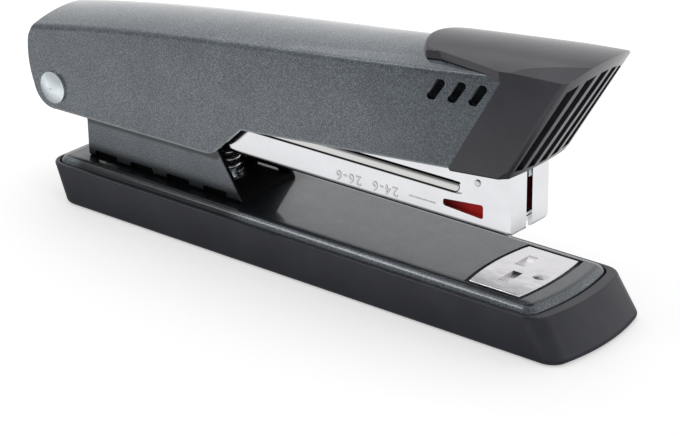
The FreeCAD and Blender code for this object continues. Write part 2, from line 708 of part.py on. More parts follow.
def hinge_washers():
    """Spacers that keep the magazine in the middle of the bracket."""
    rings = []
    inner = cell.mag_width * HALF + cell.run_gap
    outer = bracket_inner * HALF - cell.run_gap
    for side in (-1, 1):
        body = new_body("hinge_washer")
        near_face = inner if side < 0 else -outer
        sketch = sketch_on(body, "XZ", near_face)
        circle(sketch, 0, 0, cell.washer_radius)
        circle(sketch, 0, 0, hinge_hole)
        pad(body, sketch, outer - inner)
        rings.append(seat(body))
    return combine("Compound", "hinge_washers", rings)


# ---------------------------------------------------------------- magazine
def magazine_channel():
    """Folded channel with hinge ears, a front closed by two flanges and a slot for the staple.

    Each wall has a long sunk band that is open along its upper edge, and a window on the pusher.
    """
    body = new_body("magazine_channel")
    low = -cell.mag_low
    side = outline(sketch_on(body, "XZ"), [
        (0, low), (mag_front, low), (mag_front, cell.mag_high),
        (cell.mag_shoulder, cell.mag_high), (0, cell.mag_low)])
    pad(body, side, cell.mag_width, both_ways=True)
    fillet(body, cell.mag_bend, long_edge(low))
    fillet(body, cell.mag_bend * HALF, lambda run: run.lies_at("x", mag_front)
           and run.long[2] > cell.mag_bend.value)
    pad(body, circle(sketch_on(body, "XZ"), 0, 0, cell.mag_low), cell.mag_width, both_ways=True)
    inside = box(sketch_on(body, "XZ"), -FAR, mag_floor, flange_inside, FAR)
    pocket(body, inside, mag_inner, both_ways=True)
    side = cell.slit_width * HALF
    slit = box(sketch_on(body, "YZ", mag_front), -side, -FAR, side, FAR)
    pocket(body, slit, cell.mag_sheet)
    exit_slot = box(sketch_on(body, "XY", low), flange_inside - cell.exit_gap, -mag_inner * HALF,
                    flange_inside, mag_inner * HALF)
    pocket(body, exit_slot, cell.mag_sheet, forward=True)
    for side in (1, -1):
        groove = slot(sketch_on(body, "XZ", side * cell.mag_width * HALF), cell.slot_from, cell.slot_up,
                      slot_to, cell.slot_up, cell.slot_radius)
        pocket(body, groove, cell.slot_deep, forward=side < 0)
    lip = cell.slot_up + cell.slot_radius
    gap = box(sketch_on(body, "XZ"), cell.slot_from, lip - cell.slot_gap, pusher_rear - cell.pusher_gap, lip)
    pocket(body, gap, 2 * cell.mag_width, both_ways=True)
    window = outline(sketch_on(body, "XZ"), [
        (window_rear, -cell.window_low_rear), (window_front, -cell.window_low_front),
        (window_front, cell.window_high_front), (window_rear, -cell.window_high_rear)])
    pocket(body, window, 2 * cell.mag_width, both_ways=True)
    fillet(body, cell.window_round, lambda run: near(run.long[1], cell.mag_sheet) and
           (run.lies_at("x", window_rear) or run.lies_at("x", window_front)))
    pocket(body, circle(sketch_on(body, "XZ"), 0, 0, hinge_hole), 2 * cell.mag_width, both_ways=True)
    holes = sketch_on(body, "XY", low)
    for u in (cell.rail_rivet_rear, rail_rivet_front):
        circle(holes, u, 0, cell.rail_rivet_shank + cell.run_gap)
    pocket(body, holes, cell.mag_sheet * 1.5, forward=True)
    return seat(body)


def staple_rail():
    """Inner channel that the staples straddle."""
    body = new_body("staple_rail")
    pad(body, box(sketch_on(body, "XZ"), cell.rail_rear, mag_floor, rail_front, cell.rail_high),
        rail_width, both_ways=True)
    fillet(body, cell.rail_sheet, long_edge(mag_floor))
    pocket(body, box(sketch_on(body, "XZ"), 0, rail_floor, 3 * FAR, FAR), rail_inner, both_ways=True)
    holes = sketch_on(body, "XY", mag_floor)
    for u in (cell.rail_rivet_rear, rail_rivet_front):
        circle(holes, u, 0, cell.rail_rivet_shank + cell.run_gap)
    pocket(body, holes, cell.rail_sheet * 1.5, forward=True)
    return seat(body)


def rail_rivets():
    rivets = [seat(rivet("rail_rivet", cell.rail_rivet_shank, cell.rail_rivet_head, cell.rail_rivet_dome,
                         -cell.mag_low, rail_floor, across=u))
              for u in (cell.rail_rivet_rear, rail_rivet_front)]
    return combine("Compound", "rail_rivets", rivets)


def rod_holder():
    """Block across the rail that holds the rear of the guide rod."""
    body = new_body("rod_holder")
    half = rail_inner * HALF - cell.run_gap
    pad(body, box(sketch_on(body, "YZ", cell.holder_rear), -half, rail_floor, half, cell.rail_high),
        cell.holder_long)
    pocket(body, circle(sketch_on(body, "YZ", holder_front), 0, cell.rod_up, cell.rod_radius + cell.run_gap),
           cell.holder_long * 1.1)
    return seat(body)


def guide_rod():
    body = new_body("guide_rod")
    rod = circle(sketch_on(body, "YZ", cell.holder_rear), 0, cell.rod_up, cell.rod_radius)
    pad(body, rod, rail_front - cell.rod_end - cell.holder_rear)
    return seat(body)


def pusher_spring():
    """Wound round the guide rod between its holder and the pusher."""
    reach = pusher_rear - holder_front - cell.spring_gap
    spring = coil("pusher_spring", cell.push_radius, cell.push_wire, cell.push_turns, reach)
    seat(spring, at=(hinge_x + holder_front + cell.spring_gap * HALF, 0, cell.hinge_up + cell.rod_up))
    spring.Placement.Rotation = FreeCAD.Rotation(FreeCAD.Vector(0, 1, 0), 90)
    return spring


def pusher():
    """Moulded follower: a block in the rail, a cap over it and a leg with a tail down each side."""
    body = new_body("pusher")
    gap = cell.pusher_gap
    block = rail_inner * HALF - gap
    leg_in = rail_width * HALF + gap
    leg_out = mag_inner * HALF - gap
    low = rail_floor + cell.rail_rivet_dome + gap
    under = cell.rail_high + gap
    top = under + cell.pusher_cap
    pad(body, outline(sketch_on(body, "YZ", pusher_rear), [
        (-block, low), (block, low), (block, under), (leg_in, under), (leg_in, -cell.pusher_foot),
        (leg_out, -cell.pusher_foot), (leg_out, top), (-leg_out, top), (-leg_out, -cell.pusher_foot),
        (-leg_in, -cell.pusher_foot), (-leg_in, under), (-block, under)]), cell.pusher_length)
    tails = sketch_on(body, "YZ", pusher_rear)
    for inner, outer in ((leg_in, leg_out), (-leg_out, -leg_in)):
        box(tails, inner, -cell.pusher_foot, outer, cell.tail_up)
    pad(body, tails, cell.pusher_tail, backward=True)
    pocket(body, circle(sketch_on(body, "YZ", rail_front), 0, cell.rod_up, cell.rod_radius + cell.rod_gap),
           cell.pusher_length * 1.1)
    return seat(body)


# ---------------------------------------------------------------- handle
def handle_roof(label, inset):
    """Loft of crowned sections that rises towards the nose."""
    body = new_body(label)
    half = handle_width * HALF - inset
    sections = []
    for u, rise in ((-cell.roof_behind, -cell.rear_fall), (cell.bend_at, -cell.bend_fall),
                    (cell.mid_at, Size(0)), (roof_to, cell.front_rise)):
        top = cell.crease_mid + rise - inset
        soft = cell.crease_round
        shoulder = half - soft
        lift = cell.crown * (1 - shoulder * shoulder / (half * half))
        sections.append(outline(sketch_on(body, "YZ", u), [
            (-half, -FAR), (half, -FAR), (half, top - soft), (shoulder, top + lift),
            (-shoulder, top + lift), (-half, top - soft),
        ], {2: -soft * 0.3, 3: lift - cell.crown, 4: -soft * 0.3}))
    loft(body, sections)
    return body


def front_edge(w, shift=0):
    """The handle's slanted front edge, which the nose cap stands against."""
    return front_low + (w + cell.edge_low) * cell.front_slope + shift


def handle_outside(label, grow):
    """Everything within the handle's outer surfaces."""
    roof = handle_roof(label + "_roof", -grow)
    side = new_body(label + "_side")
    rear = -cell.back_reach - grow
    high = cell.back_high
    low = -cell.edge_low - grow
    pad(side, outline(sketch_on(side, "XZ"), [
        (rear, 0), (0, -cell.heel_low - grow), (cell.deep_at, -cell.deep_low - grow),
        (cell.step_at, low), (front_edge(low, grow), low), (front_edge(Size(FAR), grow), FAR),
        (rear + cell.back_lean * (FAR - high), FAR), (rear, high),
    ], {0: -cell.heel_bow, 7: -cell.back_bow}), 2 * FAR, both_ways=True)
    fillet(side, cell.deep_round, across_edge(2 * FAR, cell.deep_at))
    return combine("MultiCommon", label, [roof, side])


def handle_inside():
    """The hollow: open below and at the nose, closed at the back down to the back wall's edge."""
    roof = handle_roof("hollow_roof", cell.handle_sheet)
    side = new_body("hollow_side")
    rear = cell.handle_sheet - cell.back_reach
    high = cell.back_high
    pad(side, outline(sketch_on(side, "XZ"), [
        (-FAR, -cell.back_low), (-FAR, -FAR + 1), (3 * FAR, -FAR + 1), (3 * FAR, FAR),
        (rear + cell.back_lean * (FAR - high), FAR), (rear, high), (rear, -cell.back_low),
    ], {5: cell.back_bow * -1}), 2 * FAR, both_ways=True)
    return combine("MultiCommon", "handle_hollow", [roof, side])


def handle_cover():
    """Pressed channel: crowned roof, closed rear, deep cheeks round the bracket, vents at the nose."""
    shell = combine("Cut", "handle_shell", [handle_outside("handle_form", Size(0)), handle_inside()])
    holes = new_body("handle_holes")
    pad(holes, circle(sketch_on(holes, "XZ"), 0, 0, hinge_hole), 2 * FAR, both_ways=True)
    cover = combine("Cut", "handle_bored", [shell, holes])
    pierced = combine("Cut", "handle_pierced", [cover, handle_vents()])
    posts = nose_posts("post_holes", cell.nose_gap)
    studs = [stud_hole(u) for u in (stud_rear, stud_front)]
    tools = combine("MultiFuse", "roof_holes", [posts] + studs)
    return seat(combine("Cut", "handle_cover", [pierced, tools]), cell.handle_tilt)


def handle_vents():
    """A row of slanted openings through both cheeks, with rounded corners."""
    body = new_body("handle_vents")
    sketch = sketch_on(body, "XZ")
    low = cell.vent_low
    high = low + cell.vent_high
    for i in range(int(cell.vent_count.value)):
        start = vent_first + cell.vent_pitch * i
        end = start + cell.vent_long
        outline(sketch, [(start, low), (end, low),
                         (end + cell.vent_lean, high), (start + cell.vent_lean, high)])
    pad(body, sketch, 2 * FAR, both_ways=True)
    fillet(body, cell.vent_round, across_edge(2 * FAR))
    return body


def stud_hole(u):
    body = new_body("stud_hole")
    pad(body, circle(sketch_on(body, "XY"), u, 0, cell.stud_shank + cell.run_gap), FAR)
    return body


def nose_posts(label, grow=0):
    """The two moulded posts of the nose cap, or the holes for them."""
    body = new_body(label)
    foot = crease_front - cell.post_under
    sketch = sketch_on(body, "XY", foot)
    for side in (-1, 1):
        circle(sketch, post_at, side * cell.post_out, cell.post_radius + grow)
    pad(body, sketch, cell.post_under + cell.brow_up)
    return body


# ---------------------------------------------------------------- nose cap
def nose_front(w):
    """How far forward the middle of the nose reaches at a height."""
    return nose_reach + (w + cell.nose_low) * cell.nose_slope


def nose_plan(label, inset, low):
    """Loft from the lower to the upper plan outline: a bowed front that leans forward."""
    body = new_body(label)
    half = nose_width * HALF - inset
    thick = inset * root(1 + cell.nose_slope * cell.nose_slope)
    sections = []
    for w, bow in ((low, cell.nose_bow_low), (cell.nose_top, cell.nose_bow_high)):
        front = nose_front(w) - thick
        sections.append(outline(sketch_on(body, "XY", w), [
            (nose_rear, -half), (front - bow, -half), (front - bow, half),
            (nose_rear, half)], {1: -bow}))
    loft(body, sections)
    return body


def nose_crown(label, inset):
    """Crowned top, which falls to the front beyond the brow."""
    body = new_body(label)
    half = nose_width * HALF - inset
    sections = []
    for u, edge_up, fall in ((nose_rear, cell.roof_rear_up, 0), (brow, cell.brow_up, 0),
                             (nose_tip, cell.brow_up, cell.crest_fall)):
        edge = crease_front + edge_up - inset
        crest = crease_front + cell.crown + cell.crest_up - fall - inset
        sections.append(outline(sketch_on(body, "YZ", u), [
            (-half, -FAR), (half, -FAR), (half, edge), (-half, edge),
        ], {2: edge - crest}))
    loft(body, sections)
    return body


def nose_facets(body):
    """Two flat facets beside the crown, which widen from the brow to the front."""
    half = nose_width * HALF
    for side in (-1, 1):
        sections = []
        for u, fall in ((brow, 0), (nose_tip, cell.brow_long * cell.facet_drop)):
            edge = crease_front + cell.brow_up - fall
            sections.append(outline(sketch_on(body, "YZ", u), [
                (side * (half + FAR), edge - FAR * cell.facet_slope),
                (side * (half + FAR), edge + FAR * cell.facet_slope),
                (side * (half - FAR), edge + FAR * cell.facet_slope)]))
        loft(body, sections, cut=True)


def nose_chin(body):
    """Flat cuts that take off the two lower corners of the front."""
    half = nose_width * HALF
    low = -cell.nose_low
    over = cell.nose_wall
    for side in (-1, 1):
        sections = []
        for u in (nose_reach - cell.chin_back, nose_tip):
            reach = (u - nose_reach + cell.chin_back) * cell.chin_slope + over
            sections.append(outline(sketch_on(body, "YZ", u), [
                (side * (half - reach), low - over), (side * (half + over), low - over),
                (side * (half + over), low + reach)]))
        loft(body, sections, cut=True)


def nose_pad():
    """Plan of the cap's rear: a round-ended tongue that widens into the cap."""
    body = new_body("nose_pad")
    half = cell.pad_half
    straight = pad_end + cell.pad_straight
    flare = (nose_width * HALF - half) / (nose_reach - cell.pad_wide - straight)
    wide = half + flare * (3 * FAR - straight)
    pad(body, outline(sketch_on(body, "XY", crease_front - cell.pad_sink), [
        (pad_end, -half), (straight, -half), (3 * FAR, -wide), (3 * FAR, wide), (straight, half),
        (pad_end, half)], {5: -cell.pad_bow}), FAR)
    return body


def nose_cap():
    """Moulded hood with a louvred front, whose rear pad lies on the handle's roof."""
    plan = nose_plan("nose_plan", Size(0), -cell.nose_low)
    crown = nose_crown("nose_crown", Size(0))
    nose_facets(crown)
    nose_chin(crown)
    cheek = new_body("nose_cheek")
    low = -cell.nose_low - 1
    gap = cell.nose_gap
    pad(cheek, outline(sketch_on(cheek, "XZ"), [
        (front_edge(low, gap), low), (3 * FAR, low), (3 * FAR, FAR), (front_edge(Size(FAR), gap), FAR),
    ]), 2 * FAR, both_ways=True)
    reach = combine("MultiFuse", "nose_reach", [cheek, nose_pad()])
    block = combine("MultiCommon", "nose_block", [plan, crown, reach])
    tall = cell.louvre_pitch.value * 3
    edged = soften(block, cell.nose_corner,
                   lambda run: run.long[2] > tall and run.x[0] > post_at.value)
    footed = soften(edged, cell.nose_foot, flat_at("z", -cell.nose_low))
    solid = soften(footed, cell.pad_round, lambda run: run.z[0] > crease_front.value
                   and run.x[-1] < post_at.value)
    hollow = combine("MultiCommon", "nose_hollow", [
        nose_plan("hollow_plan", cell.nose_wall, Size(-20)), nose_crown("hollow_crown", cell.nose_wall)])
    shell = combine("Cut", "nose_shell", [solid, hollow])
    fitted = combine("Cut", "nose_fitted", [shell, handle_outside("handle_room", gap)])
    pierced = combine("Cut", "nose_pierced", [fitted, combine("MultiFuse", "nose_tools", [
        louvres(), stud_room(stud_rear), stud_room(stud_front)])])
    cap = combine("MultiFuse", "nose_cap", [pierced, nose_posts("cap_posts")])
    return seat(cap, cell.handle_tilt)


def louvres():
    """Upright openings through the front wall, whose ends follow the arch of its top edge."""
    body = new_body("louvres")
    half = nose_width * HALF
    count = int(cell.louvre_count.value)
    sketch = sketch_on(body, "YZ", front_low)
    for i in range(count):
        sides = [cell.louvre_pitch * (i - (count - 1) * HALF) + cell.louvre_width * shift
                 for shift in (-HALF, HALF)]
        low, high = [[(y, start + rise * y * y / (half * half)) for y in sides] for start, rise in (
            (-cell.louvre_low, cell.louvre_lift), (crease_front + cell.louvre_top, -cell.louvre_arch))]
        outline(sketch, [low[0], low[1], high[1], high[0]])
    pad(body, sketch, FAR)
    return body


def stud_room(u):
    """Relief under the pad for a stud's head."""
    body = new_body("stud_room")
    pad(body, circle(sketch_on(body, "XY"), u, 0, cell.stud_head + cell.stud_room),
        roof_at(u) + cell.stud_dome + cell.stud_room)
    return body


# ---------------------------------------------------------------- driver
def driver_carrier():
    """Bent bracket under the roof that backs the driver blade."""
    body = new_body("driver_carrier")
    low = carrier_top - cell.carrier_deep
    inner = blade_rear - cell.carrier_sheet
    pad(body, outline(sketch_on(body, "XZ"), [
        (carrier_rear, carrier_under), (inner, carrier_under), (inner, low), (blade_rear, low),
        (blade_rear, carrier_top), (carrier_rear, carrier_top)]),
        blade_width, both_ways=True)
    fillet(body, cell.carrier_sheet * 0.4, across_edge(blade_width, inner, carrier_under))
    pocket(body, stud_circles(body), 2 * FAR)
    return seat(body, cell.handle_tilt)


def stud_circles(body, front=True, rear=True):
    sketch = sketch_on(body, "XY", Size(FAR))
    for wanted, u in ((rear, stud_rear), (front, stud_front)):
        if wanted:
            circle(sketch, u, 0, cell.stud_shank + cell.run_gap)
    return sketch


def driver_blade():
    """Blade as thick as a staple's wire, with a foot folded back on the carrier."""
    body = new_body("driver_blade")
    front = blade_rear + cell.blade_sheet
    top = carrier_top + cell.blade_sheet
    pad(body, outline(sketch_on(body, "XZ"), [
        (blade_rear, -cell.blade_low), (front, -cell.blade_low), (front, top),
        (blade_rear - cell.blade_foot, top), (blade_rear - cell.blade_foot, carrier_top),
        (blade_rear, carrier_top)]), blade_width, both_ways=True)
    pocket(body, stud_circles(body, rear=False), 2 * FAR)
    return seat(body, cell.handle_tilt)


def return_spring():
    """Leaf that leans on the magazine's two edges and lifts the handle."""
    body = new_body("return_spring")
    sheet_up = cell.leaf_sheet
    under = carrier_under - sheet_up
    slope = sine(cell.handle_tilt) / cosine(cell.handle_tilt)
    toe = cell.mag_high / cosine(cell.handle_tilt) - cell.leaf_end * slope + cell.spring_gap
    tip = cell.leaf_end - cell.leaf_toe
    lift = cell.leaf_toe * 0.25 + cell.leaf_toe * slope
    pad(body, outline(sketch_on(body, "XZ"), [
        (cell.leaf_end, toe), (leaf_bend, under), (leaf_from, under),
        (leaf_from, carrier_under), (leaf_bend, carrier_under), (cell.leaf_end, toe + sheet_up),
        (tip, toe + lift + sheet_up), (tip, toe + lift)]), cell.leaf_width, both_ways=True)
    pad(body, outline(sketch_on(body, "XZ"), [
        (cell.leaf_end, toe), (cell.leaf_end, toe + sheet_up), (tip, toe + lift + sheet_up),
        (tip, toe + lift)]), cell.mag_width + 2 * cell.leaf_over, both_ways=True)
    pocket(body, stud_circles(body, front=False), 2 * FAR)
    return seat(body, cell.handle_tilt)


def carrier_studs():
    """Rivets through the roof, the carrier and what it carries, under the nose cap's pad."""
    front = rivet("carrier_stud", cell.stud_shank, cell.stud_head, cell.stud_dome, carrier_under,
                  roof_at(stud_front), across=stud_front)
    rear = rivet("carrier_stud", cell.stud_shank, cell.stud_head, cell.stud_dome,
                 carrier_under - cell.leaf_sheet, roof_at(stud_rear), across=stud_rear)
    return seat(combine("Compound", "carrier_studs", [front, rear]), cell.handle_tilt)


PIECES = [
    base_tray, base_plate, tray_screws, anvil_plate, anvil_rivet, frame_bracket, bracket_rivets,
    spring_seat, lift_spring, hinge_pin, hinge_washers,
    magazine_channel, staple_rail, rail_rivets, rod_holder, guide_rod, pusher_spring, pusher,
    handle_cover, nose_cap, driver_carrier, driver_blade, return_spring, carrier_studs,
]

pieces = [make() for make in PIECES]
doc.recompute()

for item in doc.Objects:
    if "Invalid" in item.State or "Error" in item.State:
        raise RuntimeError("%s (%s) failed: %s" % (item.Label, item.Name, item.State))
for piece in pieces:
    shape = piece.Shape
    if shape.isNull() or not shape.isValid() or not shape.Solids:
        raise RuntimeError(piece.Label + " has no valid shape")

os.makedirs("parts", exist_ok=True)
for piece in pieces:
    piece.Shape.exportStep("parts/%s.step" % piece.Label)
    bounds = piece.Shape.BoundBox
    print("%-18s %2d solids %9.1f mm3  x %7.2f %7.2f  y %7.2f %7.2f  z %6.2f %6.2f" % (
        piece.Label, len(piece.Shape.Solids), piece.Shape.Volume,
        bounds.XMin, bounds.XMax, bounds.YMin, bounds.YMax, bounds.ZMin, bounds.ZMax))
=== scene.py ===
"""A desk stapler in grey metallic paint, chrome and black plastic, on a pale floor under soft light."""
import json
import math

import bpy
from mathutils import Matrix, Vector


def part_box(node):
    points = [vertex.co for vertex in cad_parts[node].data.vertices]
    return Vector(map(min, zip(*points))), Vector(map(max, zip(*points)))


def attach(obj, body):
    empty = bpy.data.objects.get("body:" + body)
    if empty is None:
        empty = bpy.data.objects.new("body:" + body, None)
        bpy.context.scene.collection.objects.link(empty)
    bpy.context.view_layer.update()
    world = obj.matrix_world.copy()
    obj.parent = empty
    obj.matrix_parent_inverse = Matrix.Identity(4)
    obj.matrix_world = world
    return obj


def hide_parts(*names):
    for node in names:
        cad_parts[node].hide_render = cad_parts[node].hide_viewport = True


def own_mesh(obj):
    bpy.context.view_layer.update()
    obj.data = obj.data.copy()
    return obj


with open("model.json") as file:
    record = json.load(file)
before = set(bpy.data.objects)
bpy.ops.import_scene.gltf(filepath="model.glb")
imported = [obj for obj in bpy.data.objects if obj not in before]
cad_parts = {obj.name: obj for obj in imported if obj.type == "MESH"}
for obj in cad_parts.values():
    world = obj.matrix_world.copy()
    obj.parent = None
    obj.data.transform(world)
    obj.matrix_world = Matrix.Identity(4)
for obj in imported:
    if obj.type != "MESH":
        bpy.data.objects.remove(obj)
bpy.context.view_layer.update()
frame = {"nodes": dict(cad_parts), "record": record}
bpy.ops.object.select_all(action="DESELECT")

MM = 0.001
X, Y, Z = range(3)


# ---------------------------------------------------------------- places on the stapler, in millimetres
def lowest(node, axis):
    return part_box(node)[0][axis] / MM


def highest(node, axis):
    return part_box(node)[1][axis] / MM


def middle(node, axis):
    return (lowest(node, axis) + highest(node, axis)) / 2


HINGE_X, HINGE_Z = middle("hinge_pin", X), middle("hinge_pin", Z)
PLATE_TOP = highest("base_plate", Z)
BRACKET_REAR, BRACKET_FRONT = lowest("frame_bracket", X), highest("frame_bracket", X)
WASHER_FACE = highest("hinge_washers", Y)
HANDLE_FACE = highest("handle_cover", Y)
MAGAZINE_FRONT, MAGAZINE_FOOT = highest("magazine_channel", X), lowest("magazine_channel", Z)
PUSHER_REAR, PUSHER_FRONT = lowest("pusher", X), highest("pusher", X)

# the handle's tilt and sheet, and where its lower edge and its vents lie along the tilted handle: how far
# ahead of the hinge, and how far below or above it
HANDLE_TILT = math.radians(5.4)
HANDLE_SHEET = 1.0
HEEL_LOW = 5.9
DEEP_AT, DEEP_LOW = 52.0, 10.1
STEP_AT, EDGE_LOW = 62.0, 2.5
VENTS_FROM, VENTS_TOP = 98.0, 17.9

# the magazine's sunk slot: the centres of its round ends lie ahead of the hinge and short of the front
SLOT_FROM, SLOT_SHORT = 41.5, 15.2
SLOT_UP, SLOT_RADIUS = 3.2, 1.5


# ---------------------------------------------------------------- nodes
class Look:
    """Adds and joins the nodes of a material or of the world, and gives back their results."""

    def __init__(self, tree):
        self.nodes = tree.nodes
        self.links = tree.links

    def fill(self, node, sockets):
        """Sets a node's sockets to numbers and colours, or joins other nodes' results to them."""
        for name, value in sockets.items():
            socket = node.inputs[name]
            if isinstance(value, bpy.types.NodeSocket):
                self.links.new(value, socket)
            elif socket.type == "RGBA":
                socket.default_value = (*value, 1.0)
            else:
                socket.default_value = value

    def add(self, kind, sockets=None, **settings):
        node = self.nodes.new("ShaderNode" + kind)
        for name, value in settings.items():
            setattr(node, name, value)
        self.fill(node, sockets or {})
        return node

    def work(self, kind, *values):
        """One sum on numbers or on other nodes' results."""
        return self.add("Math", dict(enumerate(values)), operation=kind).outputs[0]

    def plus(self, first, second):
        return self.work("ADD", first, second)

    def minus(self, first, second):
        return self.work("SUBTRACT", first, second)

    def times(self, first, second):
        return self.work("MULTIPLY", first, second)

    def least(self, first, second):
        return self.work("MINIMUM", first, second)

    def most(self, first, second):
        return self.work("MAXIMUM", first, second)

    def rest(self, mask):
        """1 where the mask is 0, and the other way round."""
        return self.minus(1.0, mask)

    def spread(self, source, start, end, before, after, bend="LINEAR"):
        """From one value to another while the source goes from start to end."""
        reach = {"Value": source, "From Min": start, "From Max": end, "To Min": before, "To Max": after}
        return self.add("MapRange", reach, interpolation_type=bend).outputs["Result"]

    def fade(self, source, start, end, before=0.0, after=1.0):
        """A mask, 0 before start and 1 after end unless other values are given, with a soft passage."""
        return self.spread(source, start, end, before, after, bend="SMOOTHSTEP")

    def place(self):
        """The piece's own x, y and z, in millimetres."""
        apart = self.add("SeparateXYZ", {0: self.add("TexCoord").outputs["Object"]})
        return [self.times(apart.outputs[axis], 1 / MM) for axis in (X, Y, Z)]

    def grain(self, size, detail=2.0, stretch=None):
        """Cloudy noise over the piece itself, whose clouds are about one size across, in metres."""
        place = self.add("TexCoord").outputs["Object"]
        if stretch:
            place = self.add("Mapping", {"Scale": stretch, "Vector": place}).outputs["Vector"]
        return self.add("TexNoise", {"Scale": 1 / size, "Detail": detail, "Vector": place}).outputs["Fac"]

    def vary(self, noise, low, high):
        """From low to high by the noise, most of which lies between 0.3 and 0.7."""
        return self.spread(noise, 0.3, 0.7, low, high)

    def tint(self, noise, stops):
        """Colours for the noise's low, middle and high places."""
        blend = self.add("ValToRGB", {"Fac": noise})
        ramp = blend.color_ramp.elements
        while len(ramp) < len(stops):
            ramp.new(0.5)
        for element, (level, colour) in zip(ramp, stops):
            element.position = level
            element.color = (*colour, 1.0)
        return blend.outputs["Color"]

    def over(self, where, below, above, strength=1.0):
        """One colour over another where the mask is 1, as strongly as asked."""
        if strength < 1.0:
            where = self.times(where, strength)
        # by number, because the node's colour sockets have the names of its number sockets
        colour_a, colour_b, colour_result = 6, 7, 2
        mix = self.add("Mix", {"Factor": where, colour_a: below, colour_b: above}, data_type="RGBA")
        return mix.outputs[colour_result]

    def dent(self, shader, noise, depth, strength):
        """Raises the surface where the noise is high."""
        bump = self.add("Bump", {"Strength": strength, "Distance": depth, "Height": noise})
        self.fill(shader, {"Normal": bump.outputs["Normal"]})


def new_finish(name):
    finish = bpy.data.materials.new(name)
    finish.use_nodes = True
    look = Look(finish.node_tree)
    return finish, look, look.nodes["Principled BSDF"]


def toned(colour, factor):
    return tuple(c * factor for c in colour)


# ---------------------------------------------------------------- masks on the handle
def in_handle(look):
    """How far a place lies ahead of the hinge along the handle at rest, and above it."""
    x, _, z = look.place()
    ahead = look.minus(x, HINGE_X)
    up = look.minus(z, HINGE_Z)
    cosine, sine = math.cos(HANDLE_TILT), math.sin(HANDLE_TILT)
    u = look.plus(look.times(ahead, cosine), look.times(up, sine))
    w = look.minus(look.times(up, cosine), look.times(ahead, sine))
    return u, w


def above_cheek_edge(look):
    """How far a place lies above the handle's lower edge at rest: deep cheek, slanted step, straight."""
    u, w = in_handle(look)
    fall = (DEEP_LOW - HEEL_LOW) / DEEP_AT
    rise = (DEEP_LOW - EDGE_LOW) / (STEP_AT - DEEP_AT)
    deep = look.minus(-HEEL_LOW, look.times(u, fall))
    step = look.minus(look.times(u, rise), DEEP_LOW + DEEP_AT * rise)
    edge = look.least(look.most(deep, step), -EDGE_LOW)
    return look.minus(w, edge)


def vent_walls(look):
    """1 on the cut edges of the handle's vents, within the thickness of the sheet."""
    u, w = in_handle(look)
    across = look.work("ABSOLUTE", look.place()[Y])
    inner_face = HANDLE_FACE - HANDLE_SHEET
    within = look.times(look.fade(across, inner_face + 0.02, inner_face + 0.07),
                        look.rest(look.fade(across, HANDLE_FACE - 0.35, HANDLE_FACE - 0.1)))
    low = look.rest(look.fade(w, VENTS_TOP + 0.3, VENTS_TOP + 0.7))
    ahead = look.fade(u, VENTS_FROM, VENTS_FROM + 1.0)
    return look.times(look.times(within, low), ahead)


# ---------------------------------------------------------------- metallic paint and its painted light and shade
def metallic_paint(name, shade=1.0, painted_light=None):
    """Dark grey paint with a fine metal flake under a clear coat. A piece's painted light and shade gives
    back the colour, the roughness and the weight of the coat."""
    finish, look, shader = new_finish(name)
    flakes = ((0.30, (0.076, 0.092, 0.108)), (0.50, (0.122, 0.144, 0.166)), (0.72, (0.275, 0.315, 0.355)))
    flake = look.tint(look.grain(0.22 * MM, detail=0.0),
                      [(level, toned(colour, shade)) for level, colour in flakes])
    cloud = look.vary(look.grain(11 * MM), 0.0, 0.20)
    colour = look.over(cloud, flake, (0.02, 0.025, 0.03))
    roughness = look.vary(look.grain(4 * MM), 0.36, 0.44)
    coat = 1.0
    if painted_light:
        colour, roughness, coat = painted_light(look, colour, roughness)
    look.fill(shader, {"Base Color": colour, "Metallic": 0.7, "Roughness": roughness,
                       "Coat Weight": coat, "Coat Roughness": 0.06})
    look.dent(shader, look.grain(2.0 * MM, detail=3.0), 0.012 * MM, 0.5)
    return finish


def handle_painted_light(look, colour, roughness):
    """Painted shade: darker under a weaker coat towards the nose, black inside the vents. A painted
    highlight along the lower edge.
    """
    # painted shade: the paint darkens and its coat weakens towards the nose
    toward_nose = look.fade(look.place()[X], 5.0, 50.0)
    darker = look.over(toward_nose, colour, (0.01, 0.013, 0.016), strength=0.26)
    # painted shade: the cut edges inside the vents are black and have no coat
    walls = vent_walls(look)
    vents_shaded = look.over(walls, darker, (0.002, 0.002, 0.002))
    # painted highlight: a lighter line along the cheek's lower edge
    edge_highlight = look.rest(look.fade(above_cheek_edge(look), 0.2, 0.55))
    edge_lit = look.over(edge_highlight, vents_shaded, (0.36, 0.39, 0.42), strength=0.55)
    # painted shade in the coat: none on the vents' cut edges, and half as much towards the nose
    coat = look.times(look.rest(walls), look.rest(look.times(toward_nose, 0.5)))
    return edge_lit, roughness, coat


def bracket_painted_shade(look, colour, roughness):
    """Painted shadow where the handle's edge passes, painted shade along the foot, and painted shade black
    and matt but for its outside.
    """
    _, y, z = look.place()
    edge = above_cheek_edge(look)
    # painted shadow: a dark band along the handle's lower edge at rest
    cheek_shadow = look.times(look.fade(edge, -2.2, -1.3), look.rest(look.fade(edge, 0.8, 1.8)))
    # painted shade: darker, under a weaker coat, towards the foot where the bracket meets the plate
    foot_shade = look.rest(look.fade(z, PLATE_TOP + 1.5, PLATE_TOP + 4.5))
    bracket_shaded = look.over(look.most(cheek_shadow, foot_shade), colour, (0.008, 0.009, 0.010), strength=0.85)
    # painted shade: the inside and the cut edges are black and matt, without coat
    outside = look.fade(look.work("ABSOLUTE", y), WASHER_FACE + 0.9, WASHER_FACE + 1.0)
    inner_shade = look.over(outside, (0.004, 0.004, 0.005), bracket_shaded)
    matt = look.most(roughness, look.times(look.rest(outside), 0.95))
    coat = look.times(outside, look.rest(look.times(foot_shade, 0.9)))
    return inner_shade, matt, coat


